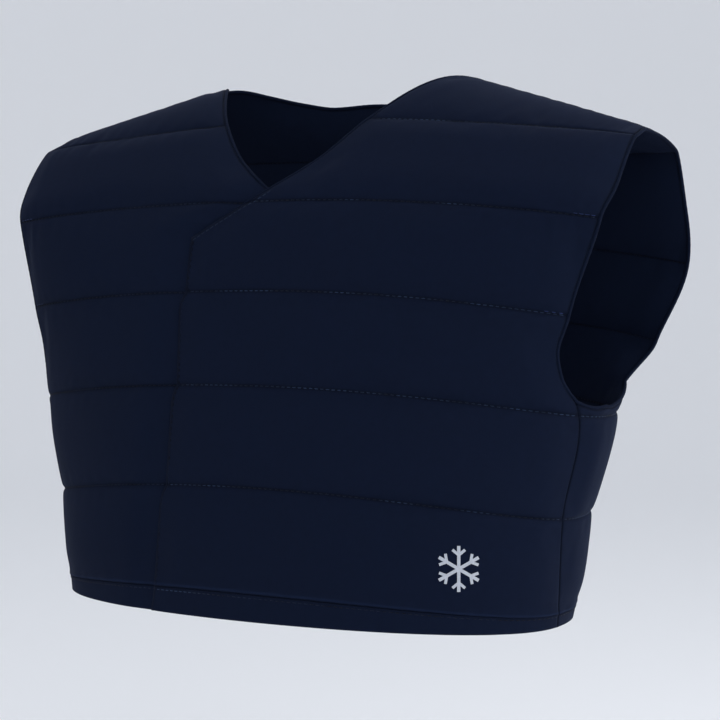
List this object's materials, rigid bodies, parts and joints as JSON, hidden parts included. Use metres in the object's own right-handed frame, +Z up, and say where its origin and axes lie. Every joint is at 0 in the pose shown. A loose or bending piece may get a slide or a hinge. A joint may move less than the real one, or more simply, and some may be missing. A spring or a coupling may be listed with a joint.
{
  "type": "cooling vest",
  "caption": "Short sleeveless quilted cooling vest with a V neck and a front wrapped left over right, held in its worn shape.",
  "frame": {"origin": "midway between the neck ends of the two shoulder crests, where the vest lies on the wearer", "axes": "+X towards the wearer's left arm, -Y out of the chest, +Z up"},
  "size_m": [0.4888, 0.2438, 0.377],
  "materials": {
    "panel_cloth": "matt",
    "edge_cloth": "matt",
    "fastener": "matt"
  },
  "bodies": {
    "root": {"front_panel_right": "panel_cloth", "front_panel_left": "panel_cloth", "back_panel": "panel_cloth", "hem_front_right": "panel_cloth", "hem_front_left": "panel_cloth", "hem_back": "panel_cloth", "armhole_edge_right": "edge_cloth", "armhole_edge_left": "edge_cloth", "neck_edge": "edge_cloth", "lap_fastening_strip": "fastener"}
  },
  "joints": []
}
